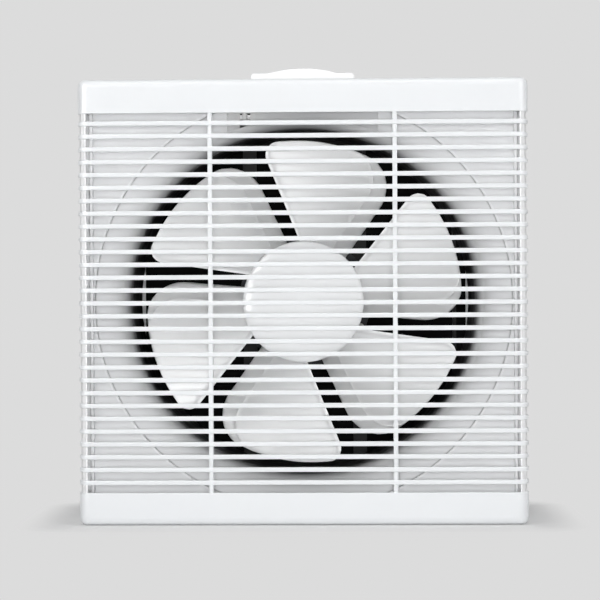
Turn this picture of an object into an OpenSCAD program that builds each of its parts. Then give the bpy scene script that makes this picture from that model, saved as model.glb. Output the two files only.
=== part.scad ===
// Window exhaust fan: a square louvred cover, a six-blade impeller in a round
// mouth, a motor on two straps, and four linked shutters behind a wall sleeve.
// Millimetres. +Z is up, the room is on the -Y side, and the origin is on the
// fan axis at the face that lies against the wall.

/* [Cover] */
// Width of the cover
cover_w = 342; // [300:1:380]
// Height of the cover
cover_h = 339; // [300:1:380]
// Distance from the wall to the front of the cover
cover_out = 40; // [36:1:55]
// Wall of the cover
cover_wall = 2.5; // [2:0.1:3]
// Rounding of the two upright front edges
side_round = 8; // [6:0.5:12]
// Rounding of the top and bottom front edges
edge_round = 6.5; // [4:0.5:10]
// Rounding of the corners seen from the front
corner_round = 4; // [3.2:0.1:6]
// Height of the plain band across the top
band_top = 26; // [20:1:32]
// Height of the plain band across the bottom
band_bottom = 25; // [20:1:32]
// Number of slats
slat_count = 29; // [21:1:33]
// Height of one slat
slat_h = 4; // [3:0.1:5]
// Depth of one slat
slat_d = 3; // [2.5:0.1:4]
// Distance of each upright rib from the middle
rib_x = 69.7; // [40:1:100]
// Width of an upright rib
rib_w = 3.6; // [2.5:0.1:6]
// Depth of an upright rib
rib_d = 4.5; // [3:0.1:7]
// How far the side posts lie behind the slats
post_inset = 1.2; // [0.6:0.1:2]
// Thickness of the side posts
post_t = 4.5; // [3:0.1:5]
// Distance of the latches from the middle
latch_x = 110; // [80:1:130]
// Width of a latch
latch_w = 14; // [8:1:20]
// Length of a latch in front of the frame
latch_len = 10; // [8:0.5:14]
// How far a latch reaches into the frame
latch_reach = 4; // [3:0.5:5]

/* [Frame] */
// Depth of the frame behind the cover
rim_depth = 12; // [10:0.5:16]
// How far the frame's edge lies inside the cover's edge
rim_inset = 1; // [0.5:0.1:1.5]
// Wall of the frame's rim
rim_wall = 2.5; // [2:0.1:4]
// Height of the step from the wall to the front of the panel
panel_out = 6; // [5:0.5:9]
// Thickness of the panel
panel_t = 3; // [2.5:0.1:3.5]
// Radius of a mounting screw's hole
screw_hole_r = 2.25; // [1.5:0.05:3]
// Radius of the boss round a mounting screw
screw_boss_r = 5; // [4:0.1:5.5]

/* [Mouth and duct] */
// Least distance from the mouth ring to the cover's edge
ring_edge = 6.9; // [5:0.1:12]
// Least distance from the duct to the cover's edge, with room for the wiring
duct_edge = 35.5; // [34:0.5:60]
// Thickness of the mouth ring and the duct
duct_wall = 1.5; // [1.2:0.1:2]
// Least distance from the duct to the outside of the sleeve
duct_room = 11; // [10.5:0.5:30]
// Radius of the rounded lip between ring and duct
lip_round = 8; // [6:0.5:8]
// Distance from the wall face to the rear end of the duct
duct_end = 60; // [54:1:66]

/* [Wall sleeve] */
// Outer size of the square sleeve, for a 300 mm hole
sleeve_size = 290; // [260:1:320]
// Wall of the sleeve
sleeve_wall = 2.5; // [2:0.1:3]
// Distance from the wall face to the rear end of the sleeve
sleeve_end = 100; // [94:1:130]

/* [Wiring box] */
// Width of the recess in the panel
recess_w = 117; // [100:1:125]
// Width of the raised box on top of the frame
box_w = 79; // [70:1:110]
// Height of the raised box above the frame
box_h = 8.1; // [8:0.1:14]
// Width of the arch on the raised box
arch_w = 54; // [40:1:66]
// Rise of the arch
arch_rise = 3.6; // [2:0.1:6]
// Radius of the cord inlet
inlet_r = 2.6; // [2:0.1:2.8]

/* [Impeller] */
// Number of blades
blade_count = 6; // [5:1:7]
// Gap between the blade tips and the duct
tip_gap = 8; // [4:0.5:15]
// Radius of the hub
hub_r = 46.8; // [44:0.1:48]
// Thickness of a blade, along the fan axis
blade_t = 2.4; // [2:0.1:3.2]
// Axial advance of the blade for one radian
blade_lead = 51; // [40:1:52]
// Angle from a blade's leading edge line to the next blade
lead_back = 3; // [0:0.5:5]
// Offset of a blade's leading edge from its radial line
lead_offset = 15; // [14:0.5:22]
// Offset of a blade's trailing edge from its radial line
trail_offset = 7.4; // [4:0.1:9]
// Rounding of the leading tip corner
lead_round = 13; // [5:0.5:14]
// Rounding of the trailing tip corner
trail_round = 30; // [20:1:36]
// Height of the spinner's dome
dome_h = 16; // [10:0.5:20]

/* [Motor] */
// Radius of the motor's shells
motor_r = 38; // [34:0.5:38]
// Radius of the motor's flange
flange_r = 54; // [52:0.5:60]
// Radius of the shaft
shaft_r = 4; // [3:0.1:5]
// Distance of each strap from the middle
strap_x = 45; // [45:0.5:48]
// Width of a strap
strap_w = 11; // [8:0.5:12]
// Thickness of a strap
strap_t = 2.5; // [2:0.1:3]

/* [Shutters] */
// Number of shutters
shutter_count = 4; // [4:1:4]
// Width of the flange round the open space, from the outside of the sleeve
shutter_flange = 11; // [10:0.5:14]
// Distance from the top of the open space to the first hinge
hinge_drop = 8; // [7:0.5:10]
// Distance from the hinges to the rear end of the sleeve
hinge_inset = 8; // [6:0.5:9]
// How far each shutter laps over the next one
flap_lap = 3; // [2:0.5:5]
// Radius of a hinge pin
hinge_pin_r = 2; // [1.5:0.1:2.2]
// Thickness of a shutter
flap_t = 1.4; // [1:0.1:2]
// Length of the crank that the link bar turns
crank_r = 12; // [11:0.5:12]

/* [Clearances] */
// Radial clearance of a running fit
run_gap = 0.05; // [0.02:0.01:0.1]
// Clearance between seated pieces
seat_gap = 0.3; // [0.2:0.05:0.4]

/* [Hidden] */
$fn = 96;
cut = 0.5; // overshoot of a cutting shape past a face
press_gap = 0.01; // radial gap of a pressed fit

// Cover
cover_least = min(cover_w, cover_h) / 2;
front_y = -cover_out;
back_y = -rim_depth;
open_top = cover_h / 2 - band_top;
open_bottom = -cover_h / 2 + band_bottom;
open_h = open_top - open_bottom;
slat_gap = (open_h - slat_count * slat_h) / (slat_count + 1);
slat_pitch = slat_h + slat_gap;
bar_end_x = cover_w / 2 - side_round;
latch_t = 1.8;
latch_bead = 1;
rib_set_back = 0.8;
spigot_t = 2;
spigot_reach = 4;

// Frame
rim_w = cover_w - 2 * rim_inset;
rim_h = cover_h - 2 * rim_inset;
rim_round = corner_round - rim_inset;
screw_span_x = (rim_w + sleeve_size) / 2;
screw_span_z = (rim_h + sleeve_size) / 2;
spigot_w = cover_w - 2 * max(cover_wall, post_inset + post_t) - 2 * seat_gap;
spigot_h = cover_h - 2 * cover_wall - 2 * seat_gap;
panel_front = -panel_out;
panel_back = panel_front + panel_t;
gasket_t = (panel_out - panel_t) / 2;
gasket_y = -gasket_t;
seat_w = (min(rim_w, rim_h) - sleeve_size) / 2 - rim_wall;
seat_inner = sleeve_size / 2 - sleeve_wall;
seat_outer = sleeve_size / 2 + seat_w * 9 / 20;
gasket_inner = sleeve_size / 2 + seat_w / 20;
gasket_outer = sleeve_size / 2 + seat_w * 8 / 20;
duct_r = min(sleeve_size / 2 - duct_room, cover_least - duct_edge);
ring_r = cover_least - ring_edge;
lip_end = panel_front + lip_round;
panel_hole_r = duct_r + lip_round + 0.2;
lip_edge_r = panel_hole_r + 1.6;
recess_top = rim_h / 2 - rim_wall;
recess_lap = 2;

// Wiring box
box_base = rim_h / 2;
box_top = box_base + box_h;
box_wall = 2;
box_round = 2;
box_boss_r = 3.2;
box_boss_x = box_w / 2 - 2 * box_wall - 2 * box_boss_r;
box_boss_top = box_top - box_wall + cut;
box_screw_grip = 5;
box_mid_y = -rim_depth / 2;
box_screw_r = 1.4;
box_screw_head_r = 2.8;
box_screw_head_h = 2.2;
box_hole_w = 2 * (box_boss_x - box_screw_head_r - box_wall);
arch_r = (pow(arch_w / 2, 2) + arch_rise * arch_rise) / (2 * arch_rise);
inlet_z = (box_base + box_top) / 2;
grommet_r = inlet_r + 1;
grommet_flange_r = grommet_r + 0.35;
grommet_flange_t = 0.8;
terminal_w = 26;
terminal_x = -recess_w / 2 + seat_gap + terminal_w / 2;
terminal_h = 12;
terminal_d = 12;
terminal_z = recess_top - 17;
terminal_hole_r = 2.6;
terminal_hole_d = 4;
terminal_screw_r = 2.2;
terminal_screw_h = 2.5;
terminal_slot_w = 0.8;
capacitor_w = 37;
capacitor_x = recess_w / 2 - capacitor_w - 13.5;
capacitor_h = 13;
capacitor_tab_h = 2.4;
capacitor_tab_w = 3;
capacitor_tab_t = 0.8;
capacitor_d = 14;

// Impeller
tip_r = duct_r - tip_gap;
blade_step = 360 / blade_count;
first_gap_angle = 55;
blade_mid_angle = 24;
blade_camber = 0.10;
root_r = hub_r - 1.6;
blade_rows = 12;
blade_columns = 10;
hub_len = 45;
hub_back = duct_end - 22;
hub_front = hub_back - hub_len;
blade_mid_y = hub_back - 31;
hub_wall = 2.3;
hub_disc_y = hub_front + 8;
hub_disc_t = 2.5;
hub_boss_r = shaft_r + 5;
hub_boss_end = hub_back - 4;
hub_web_t = 2;
hub_web_h = hub_boss_end - hub_disc_y - 4;
spigot_r = hub_r - hub_wall - seat_gap;
spinner_wall = 2;
spinner_spigot = 5;
dome_power = 2.6;
dome_steps = 24;
thread_r = shaft_r - 1;
washer_t = 1;
washer_r = 7.5;
nut_h = 5;
nut_r = 6;

// Motor
shell_wall = 2;
shell_split = duct_end;
shell_front = shell_split - 16;
shell_back = shell_split + 20;
shell_chamfer = 4;
shell_boss_front = shell_front - 4;
bush_r = shaft_r + 3;
shell_boss_r = bush_r + 3;
bush_front_end = shell_split - 8;
bush_rear_start = shell_split + 8;
flange_t = 2.5;
stator_r = motor_r - shell_wall - press_gap;
stator_bore = 22;
stator_front = shell_split - 10;
stator_back = shell_split + 10;
slot_count = 12;
slot_w = 3;
slot_d = 8;
coil_h = 3.5;
coil_w = stator_r - stator_bore - 7;
rotor_gap = 0.4;
rotor_front = shell_split - 7;
rotor_back = shell_split + 7;
shaft_back = shell_split + 17;
mount_screw_z = 22;
mount_nut_h = 2.8;
mount_thread_h = 3.5;
mount_screw_r = 1.9;
mount_head_r = 3.6;
mount_head_h = 2.4;
case_screw_z = motor_r + 6;
case_ear_r = 6;
case_screw_r = 1.6;
case_head_r = 3;
case_head_h = 2;
strap_lug_z = sqrt(pow(duct_r + 5, 2) - strap_x * strap_x);
strap_lug_h = 9;
strap_lug_d = 12;
strap_end = strap_lug_z + 3;
strap_screw_r = 1.6;
strap_head_r = 3.5;
strap_head_h = 2.4;

// Motor lead: a route chosen by hand, down the back of the left strap
lead_r = 2;
lead_sides = 8;
lead_x = -strap_x;
lead_end_x = -motor_r + 8;
lead_end_y = shell_split + 10;
lead_end_z = 31;
lead_top_z = duct_r + 4.5;
lead_gland_r = 4;
lead_back_y = duct_end + strap_t + lead_r + seat_gap;
lead_points = [
    [lead_x, -9, terminal_z], [lead_x, -9, lead_top_z + 7.5], [lead_x, -7.5, lead_top_z + 4.7],
    [lead_x, -4, lead_top_z + 2.5], [lead_x, 0, lead_top_z + 1], [lead_x, 5, lead_top_z + 0.1],
    [lead_x, 10, lead_top_z], [lead_x, 30, lead_top_z], [lead_x, duct_end, lead_top_z],
    [lead_x, duct_end + 5, lead_top_z - 0.3], [lead_x, duct_end + 9, lead_top_z - 2.5],
    [lead_x, duct_end + 10.5, lead_top_z - 6.5], [lead_x, duct_end + 10, lead_top_z - 12.5],
    [lead_x, duct_end + 8, lead_top_z - 19.5], [lead_x, lead_back_y, lead_top_z - 27],
    [lead_x, lead_back_y, 90], [lead_x, lead_back_y, 64],
    [lead_x + 1, lead_back_y, 58], [lead_x + 4, lead_back_y + 1, 52], [lead_x + 9, lead_back_y + 3, 45],
    [lead_end_x - 2, lead_end_y - 1, 39], [lead_end_x, lead_end_y, 34],
    [lead_end_x, lead_end_y, lead_end_z]
];
clip_w = 10;
clip_h = 8;
clip_zs = [lead_top_z - 38.5, 74];
clip_wall = 1.2;

// Shutters
frame_out = sleeve_size / 2 - sleeve_wall - seat_gap;
frame_in = sleeve_size / 2 - shutter_flange;
frame_wall = 2.5;
frame_front = sleeve_end - 16;
frame_plate_t = 2;
strip_t = 3.2;
strip_in = frame_out - frame_wall - strip_t;
strip_d = 10;
hinge_y = sleeve_end - hinge_inset;
strip_y = hinge_y - 4;
hinge_top = frame_in - hinge_drop;
shutter_pitch = (frame_in + hinge_top) / shutter_count;
barrel_r = hinge_pin_r + 0.4;
valance_bottom = hinge_top + barrel_r + 0.6;
valance_t = 2;
flap_half = strip_in - 0.6;
flap_len = shutter_pitch + flap_lap;
flap_lean = barrel_r + flap_t / 2 + 1.5;
flap_lip = 3;
flap_lip_out = 1;
pin_end = frame_out - frame_wall - seat_gap;
crank_angle = 20;
crank_x = frame_in - 14;
crank_t = 2;
crank_w = 4;
crank_boss_r = 2.6;
link_pin_r = 1.5;
link_x = crank_x + crank_t + 2 * seat_gap;
link_t = 3;
link_w = 5;
link_eye_r = 3.4;
link_pin_end = link_x + link_t + 4 * seat_gap;
crank_y = -crank_r * cos(crank_angle);
crank_z = crank_r * sin(crank_angle);
function hinge_z(i) = hinge_top - shutter_pitch * (i - 1);
sleeve_screw_y = sleeve_end - 6;
sleeve_screw_r = 1.6;
sleeve_head_r = 2.8;
sleeve_head_h = 1.6;

// A front-view outline given depth from y0 back to y1
module slab(y0, y1) {
    translate([0, y1, 0])
        rotate([90, 0, 0])
            linear_extrude(y1 - y0)
                children();
}

// A side-view outline, drawn as (y, z), drawn out from x0 to x1
module across(x0, x1) {
    translate([x0, 0, 0])
        rotate([90, 0, 90])
            linear_extrude(x1 - x0)
                children();
}

// An outline drawn as (radius, y), turned about the fan axis
module turned() {
    rotate([-90, 0, 0])
        rotate_extrude()
            children();
}

// A straight rod along the fan axis's direction, from y0 to y1
module rod_y(r, y0, y1) {
    translate([0, y0, 0])
        rotate([-90, 0, 0])
            cylinder(r = r, h = y1 - y0);
}

// A straight rod along X, from x0 to x1
module rod_x(r, x0, x1) {
    translate([x0, 0, 0])
        rotate([0, 90, 0])
            cylinder(r = r, h = x1 - x0);
}

// A rectangle centred on the origin
module plate2d(w, h) {
    square([w, h], center = true);
}

// A plate with rounded corners
module soft_plate2d(w, h, r) {
    plate2d(w - 2 * r, h);
    plate2d(w, h - 2 * r);
    for (x = [-1, 1], z = [-1, 1])
        translate([x * (w / 2 - r), z * (h / 2 - r)])
            circle(r = r);
}

// A square ring from half-width a out to half-width b
module ring2d(a, b) {
    difference() {
        plate2d(2 * b, 2 * b);
        plate2d(2 * a, 2 * a);
    }
}

// ---- Cover ----

// Outline of the cover seen along an edge: width w, with rounded front corners
module tray2d(w, r, inset, back) {
    half = w / 2;
    translate([-(half - inset), front_y + r])
        square([w - 2 * inset, back - front_y - r]);
    translate([-(half - r), front_y + inset])
        square([w - 2 * r, r]);
    for (side = [-1, 1])
        translate([side * (half - r), front_y + r])
            circle(r = r - inset);
}

// The cover as a solid, drawn in by inset
module cover_solid(inset, back) {
    intersection() {
        translate([0, 0, -cover_h / 2 + inset])
            linear_extrude(cover_h - 2 * inset)
                tray2d(cover_w, side_round, inset, back);
        across(-cover_w / 2, cover_w / 2)
            mirror([1, -1, 0])
                tray2d(cover_h, edge_round, inset, back);
        slab(front_y - cut, back)
            soft_plate2d(cover_w - 2 * inset, cover_h - 2 * inset, corner_round - inset);
    }
}

// The slice of the cover's shell between two heights
module cover_band(z0, z1) {
    intersection() {
        difference() {
            cover_solid(0, back_y);
            cover_solid(cover_wall, back_y + cut);
        }
        translate([-cover_w / 2 - cut, front_y - cut, z0])
            cube([cover_w + 2 * cut, cover_out, z1 - z0]);
    }
}

function slat_z(i) = open_bottom + slat_gap + slat_h / 2 + i * slat_pitch;

module grille_front_bars() {
    color("white") {
        for (i = [0:slat_count - 1])
            translate([-bar_end_x, front_y, slat_z(i) - slat_h / 2])
                cube([2 * bar_end_x, slat_d, slat_h]);
        for (side = [-1, 1])
            translate([side * rib_x - rib_w / 2, front_y + rib_set_back, open_bottom])
                cube([rib_w, rib_d, open_h]);
    }
}

module grille_top_band() {
    color("white")
        cover_band(open_top, cover_h / 2 + cut);
}

module grille_bottom_band() {
    color("white")
        cover_band(-cover_h / 2 - cut, open_bottom);
}

// Slat ends that wrap round the corner, joined by an upright post
module grille_side() {
    intersection() {
        union() {
            for (i = [0:slat_count - 1])
                translate([0, 0, slat_z(i) - slat_h / 2])
                    linear_extrude(slat_h)
                        difference() {
                            tray2d(cover_w, side_round, 0, back_y);
                            tray2d(cover_w, side_round, slat_d, back_y + cut);
                        }
            translate([0, 0, open_bottom])
                linear_extrude(open_h)
                    difference() {
                        tray2d(cover_w, side_round, post_inset, back_y);
                        tray2d(cover_w, side_round, post_inset + post_t, back_y + cut);
                        translate([-cover_w / 2, front_y - cut])
                            square([cover_w, slat_d + cut]);
                    }
        }
        translate([bar_end_x, front_y - cut, -cover_h / 2])
            cube([side_round + cut, cover_out, cover_h]);
    }
}

module grille_side_left() {
    color("white")
        mirror([1, 0, 0])
            grille_side();
}

module grille_side_right() {
    color("white")
        grille_side();
}

// A latch: a flat spring tongue with a snap bead, under the top and bottom walls
module grille_latches() {
    color("white")
        for (x = [-latch_x, latch_x], flip = [0, 1])
            mirror([0, 0, flip])
                translate([x - latch_w / 2, 0, cover_h / 2 - cover_wall])
                    across(0, latch_w)
                        polygon([
                            [back_y - latch_len, 0], [back_y - latch_len, -latch_t],
                            [back_y + latch_reach - latch_bead, -latch_t],
                            [back_y + latch_reach, -latch_t / 2],
                            [back_y + latch_reach, 0]
                        ]);
}

// ---- Frame ----

module screw_spots() {
    for (x = [-1, 1], z = [-1, 1])
        translate([x * screw_span_x / 2, z * screw_span_z / 2])
            children();
}

module frame_panel() {
    color("gainsboro")
        difference() {
            union() {
                slab(-rim_depth, 0)
                    difference() {
                        soft_plate2d(rim_w, rim_h, rim_round);
                        plate2d(rim_w - 2 * rim_wall, rim_h - 2 * rim_wall);
                    }
                slab(-rim_depth - spigot_reach, -rim_depth + spigot_t)
                    difference() {
                        plate2d(spigot_w, spigot_h);
                        plate2d(spigot_w - 2 * spigot_t, spigot_h - 2 * spigot_t);
                    }
                slab(-rim_depth, -rim_depth + spigot_t)
                    difference() {
                        soft_plate2d(rim_w, rim_h, rim_round);
                        plate2d(spigot_w - 2 * spigot_t, spigot_h - 2 * spigot_t);
                    }
                slab(panel_front, panel_back)
                    difference() {
                        plate2d(rim_w - rim_wall, rim_h - rim_wall);
                        recess2d(0);
                    }
                slab(panel_back, gasket_y) {
                    ring2d(seat_inner, seat_outer);
                    recess2d(recess_lap);
                }
                slab(panel_back - cut, 0)
                    screw_spots()
                        circle(r = screw_boss_r);
            }
            rod_y(panel_hole_r, -rim_depth, cut);
            rod_y(ring_r + seat_gap, -rim_depth, panel_front + duct_wall);
            slab(-rim_depth, cut)
                screw_spots()
                    circle(r = screw_hole_r);
            for (x = [-latch_x, latch_x], flip = [0, 1])
                mirror([0, 0, flip])
                    translate([x - latch_w / 2 - seat_gap, back_y - spigot_reach - cut,
                            cover_h / 2 - cover_wall - latch_t - seat_gap])
                        cube([latch_w + 2 * seat_gap, spigot_reach + latch_reach + cut + seat_gap,
                            latch_t + seat_gap + cut]);
            translate([lead_x - 2 * lead_r, panel_back - cut, 0])
                cube([4 * lead_r, panel_t, terminal_z - 2]);
            translate([-box_hole_w / 2, -rim_depth + box_wall, rim_h / 2 - rim_wall - cut])
                cube([box_hole_w, rim_depth - 2 * box_wall, rim_wall + 2 * cut]);
            for (x = [-box_boss_x, box_boss_x])
                translate([x, box_mid_y, rim_h / 2 - rim_wall - cut])
                    cylinder(r = box_screw_r + run_gap, h = rim_wall + 2 * cut);
        }
}

// The recess behind the top band, grown by g at its sides and top
module recess2d(g) {
    translate([-recess_w / 2 - g, duct_r - 10])
        square([recess_w + 2 * g, recess_top - duct_r + 10 + g]);
}

// Flat ring and rounded lip in one turned section, cut out for the recess
module bell_mouth() {
    color("white")
        difference() {
            turned() {
                translate([duct_r + lip_round, panel_front])
                    square([ring_r - duct_r - lip_round, duct_wall]);
                translate([duct_r + lip_round, lip_end])
                    intersection() {
                        difference() {
                            circle(r = lip_round);
                            circle(r = lip_round - duct_wall);
                        }
                        translate([-lip_round, -lip_round])
                            square(lip_round);
                    }
            }
            difference() {
                translate([-recess_w / 2 - seat_gap, panel_front - cut, 0])
                    cube([recess_w + 2 * seat_gap, duct_wall + 2 * cut, ring_r + cut]);
                rod_y(lip_edge_r, panel_front - 2 * cut, panel_front + duct_wall + 2 * cut);
            }
        }
}

module lug_spots() {
    for (x = [-strap_x, strap_x], z = [-strap_lug_z, strap_lug_z])
        translate([x, 0, z])
            children();
}

// Duct behind the lip, with lugs that the motor's straps are screwed to
module duct_tube() {
    color("dimgray")
        difference() {
            union() {
                turned()
                    translate([duct_r, lip_end])
                        square([duct_wall, duct_end - lip_end]);
                difference() {
                    lug_spots()
                        translate([-strap_w / 2, duct_end - strap_lug_d, -strap_lug_h / 2])
                            cube([strap_w, strap_lug_d, strap_lug_h]);
                    rod_y(duct_r + duct_wall / 2, 0, duct_end + cut);
                }
            }
            lug_spots()
                rod_y(strap_screw_r, duct_end - strap_lug_d + 1, duct_end + cut);
        }
}

module wall_sleeve() {
    color("white")
        difference() {
            union() {
                slab(gasket_y, 0)
                    ring2d(seat_inner, sleeve_size / 2 - seat_gap);
                slab(0, sleeve_end)
                    ring2d(seat_inner, sleeve_size / 2);
            }
            for (side = [-1, 1], z = [-1, 1])
                translate([0, sleeve_screw_y, z * sleeve_size / 4])
                    rod_x(sleeve_screw_r, side * sleeve_size / 2 - 2 * sleeve_wall,
                        side * sleeve_size / 2 + 2 * sleeve_wall);
        }
}

module wall_gasket() {
    color("dimgray")
        slab(gasket_y, 0)
            difference() {
                ring2d(gasket_inner, gasket_outer);
                screw_spots()
                    circle(r = screw_boss_r + run_gap);
            }
}

// ---- Wiring ----

// Front view of the raised box: a low shelf with an arch on it
module box2d(inset) {
    half = box_w / 2 - inset;
    top = box_top - inset;
    translate([-half, box_base])
        square([2 * half, top - box_base - box_round]);
    translate([-half + box_round, box_base])
        square([2 * half - 2 * box_round, top - box_base]);
    for (side = [-1, 1])
        translate([side * (half - box_round), top - box_round])
            circle(r = box_round);
    intersection() {
        translate([0, box_top + arch_rise - arch_r])
            circle(r = arch_r - inset, $fn = 256);
        translate([-arch_w / 2 + inset, box_base])
            square([arch_w - 2 * inset, box_top]);
    }
}

module wiring_cover() {
    color("white")
        difference() {
            union() {
                difference() {
                    slab(-rim_depth, 0)
                        box2d(0);
                    slab(-rim_depth + box_wall, -box_wall)
                        difference() {
                            box2d(box_wall);
                            translate([-box_w, box_base - cut])
                                square([2 * box_w, cut]);
                        }
                }
                for (x = [-box_boss_x, box_boss_x])
                    translate([x, box_mid_y, box_base])
                        cylinder(r = box_boss_r, h = box_boss_top - box_base);
            }
            for (x = [-box_boss_x, box_boss_x])
                translate([x, box_mid_y, box_base - cut])
                    cylinder(r = box_screw_r, h = box_screw_grip + 2 * cut);
            translate([0, box_mid_y, inlet_z])
                rod_x(grommet_r, box_w / 2 - box_wall - cut, box_w / 2 + cut);
        }
}

module wiring_cover_screws() {
    color("silver")
        for (x = [-box_boss_x, box_boss_x])
            translate([x, box_mid_y, rim_h / 2 - rim_wall]) {
                translate([0, 0, -box_screw_head_h])
                    cylinder(r = box_screw_head_r, h = box_screw_head_h);
                cylinder(r = box_screw_r - press_gap, h = rim_wall + box_screw_grip);
            }
}

// Bushing that a supply cord would pass through, with a thin flange outside the raised box
module cord_grommet() {
    color("white")
        translate([box_w / 2, box_mid_y, inlet_z])
            difference() {
                union() {
                    rod_x(grommet_r - press_gap, -box_wall, cut);
                    rod_x(grommet_flange_r, 0, grommet_flange_t);
                }
                rod_x(inlet_r, -box_wall - cut, grommet_flange_t + cut);
            }
}

module terminal_block() {
    color("ivory")
        difference() {
            translate([terminal_x - terminal_w / 2, panel_back - terminal_d, terminal_z])
                cube([terminal_w, terminal_d, terminal_h]);
            for (i = [-1:1])
                translate([terminal_x + i * terminal_w / 3, 0, terminal_z + terminal_h / 2])
                    rod_y(terminal_hole_r, panel_back - terminal_d - cut,
                        panel_back - terminal_d + terminal_hole_d);
        }
}

module terminal_screws() {
    color("goldenrod")
        for (i = [-1:1])
            translate([terminal_x + i * terminal_w / 3, 0, terminal_z + terminal_h / 2])
                translate([0, panel_back - terminal_d + terminal_hole_d - terminal_screw_h, 0])
                    difference() {
                        rod_y(terminal_screw_r, 0, terminal_screw_h);
                        translate([-terminal_hole_r, -cut, -terminal_slot_w / 2])
                            cube([2 * terminal_hole_r, terminal_slot_w + cut, terminal_slot_w]);
                    }
}

module capacitor() {
    color("dimgray")
        translate([capacitor_x, panel_back - capacitor_d, terminal_z]) {
            cube([capacitor_w, capacitor_d, capacitor_h]);
            for (x = [capacitor_w / 3, capacitor_w * 2 / 3])
                translate([x - capacitor_tab_w / 2, (capacitor_d - capacitor_tab_t) / 2, capacitor_h - cut])
                    cube([capacitor_tab_w, capacitor_tab_t, capacitor_tab_h + cut]);
        }
}

function unit(v) = v / norm(v);
function heading(p, i) = unit(p[min(i + 1, len(p) - 1)] - p[max(i - 1, 0)]);
function ring_points(p, i, r, sides) =
    let (
        t = heading(p, i),
        u = unit(cross(t, [1, 0, 0])),
        v = cross(u, t)
    )
    [for (k = [0:sides - 1]) p[i] + r * (cos(360 * k / sides) * u + sin(360 * k / sides) * v)];

// A tube of one radius along a list of points
module tube(p, r, sides) {
    n = len(p);
    polyhedron(
        points = [for (i = [0:n - 1]) each ring_points(p, i, r, sides)],
        faces = [
            [for (k = [sides - 1:-1:0]) k],
            [for (k = [0:sides - 1]) (n - 1) * sides + k],
            for (i = [0:n - 2], k = [0:sides - 1])
                let (a = i * sides + k, b = i * sides + (k + 1) % sides)
                each [[a, b, b + sides], [a, b + sides, a + sides]]
        ]
    );
}

module motor_lead() {
    color("white")
        tube(lead_points, lead_r, lead_sides);
}

module lead_clips() {
    color("dimgray")
        for (z = clip_zs)
            difference() {
                translate([lead_x - clip_w / 2, duct_end + strap_t, z - clip_h / 2])
                    cube([clip_w, 2 * lead_r + seat_gap + clip_wall, clip_h]);
                translate([lead_x, lead_back_y, z - clip_h])
                    cylinder(r = lead_r + run_gap, h = 2 * clip_h);
            }
}

// ---- Motor ----

module strap(x) {
    difference() {
        translate([x - strap_w / 2, duct_end, -strap_end])
            cube([strap_w, strap_t, 2 * strap_end]);
        for (z = [-strap_lug_z, strap_lug_z])
            translate([x, 0, z])
                rod_y(strap_screw_r + run_gap, duct_end - cut, duct_end + strap_t + cut);
        for (z = [-mount_screw_z, mount_screw_z])
            translate([x, 0, z])
                rod_y(mount_screw_r + run_gap, duct_end - cut, duct_end + strap_t + cut);
    }
}

module motor_strap_left() {
    color("slategray")
        strap(-strap_x);
}

module motor_strap_right() {
    color("slategray")
        strap(strap_x);
}

module strap_screws() {
    color("silver")
        lug_spots() {
            rod_y(strap_screw_r - press_gap, duct_end - strap_lug_d + 2, duct_end + strap_t);
            rod_y(strap_head_r, duct_end + strap_t, duct_end + strap_t + strap_head_h);
        }
}

module motor_front_shell() {
    color("slategray")
        difference() {
            union() {
                turned()
                    polygon([
                        [bush_r, shell_boss_front], [shell_boss_r, shell_boss_front],
                        [shell_boss_r, shell_front], [motor_r - shell_chamfer, shell_front],
                        [motor_r, shell_front + shell_chamfer], [motor_r, shell_split - flange_t],
                        [flange_r, shell_split - flange_t], [flange_r, shell_split],
                        [motor_r - shell_wall, shell_split],
                        [motor_r - shell_wall, shell_front + shell_chamfer + 1],
                        [motor_r - shell_chamfer - 1, shell_front + shell_wall],
                        [shell_boss_r, shell_front + shell_wall], [shell_boss_r, bush_front_end],
                        [bush_r, bush_front_end]
                    ]);
            }
            for (x = [-strap_x, strap_x], z = [-mount_screw_z, mount_screw_z])
                translate([x, 0, z])
                    rod_y(mount_screw_r + run_gap, shell_split - flange_t - cut, shell_split + cut);
            for (z = [-case_screw_z, case_screw_z])
                translate([0, 0, z])
                    rod_y(case_screw_r, shell_split - flange_t - cut, shell_split + cut);
        }
}

module motor_rear_shell() {
    color("slategray")
        difference() {
            union() {
                turned()
                    polygon([
                        [0, shell_back], [motor_r - shell_chamfer, shell_back],
                        [motor_r, shell_back - shell_chamfer],
                        [motor_r, shell_split], [motor_r - shell_wall, shell_split],
                        [motor_r - shell_wall, shell_back - shell_chamfer - 1],
                        [motor_r - shell_chamfer - 1, shell_back - shell_wall],
                        [shell_boss_r, shell_back - shell_wall], [shell_boss_r, bush_rear_start],
                        [bush_r, bush_rear_start], [bush_r, shell_back - shell_wall],
                        [0, shell_back - shell_wall]
                    ]);
                for (flip = [0, 1])
                    mirror([0, 0, flip])
                        difference() {
                            slab(shell_split, shell_split + flange_t)
                                union() {
                                    translate([0, case_screw_z])
                                        circle(r = case_ear_r);
                                    translate([-case_ear_r, motor_r - shell_chamfer])
                                        square([2 * case_ear_r, case_screw_z - motor_r + shell_chamfer]);
                                }
                            rod_y(motor_r - shell_wall / 2, shell_split - cut,
                                shell_split + flange_t + cut);
                        }
                difference() {
                    translate([lead_end_x, lead_end_y, motor_r / 2])
                        cylinder(r = lead_gland_r, h = lead_end_z - motor_r / 2);
                    rod_y(motor_r - shell_wall / 2, shell_split, shell_back);
                }
            }
            for (z = [-case_screw_z, case_screw_z])
                translate([0, 0, z])
                    rod_y(case_screw_r + run_gap, shell_split - cut, shell_split + flange_t + cut);
        }
}

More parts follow.
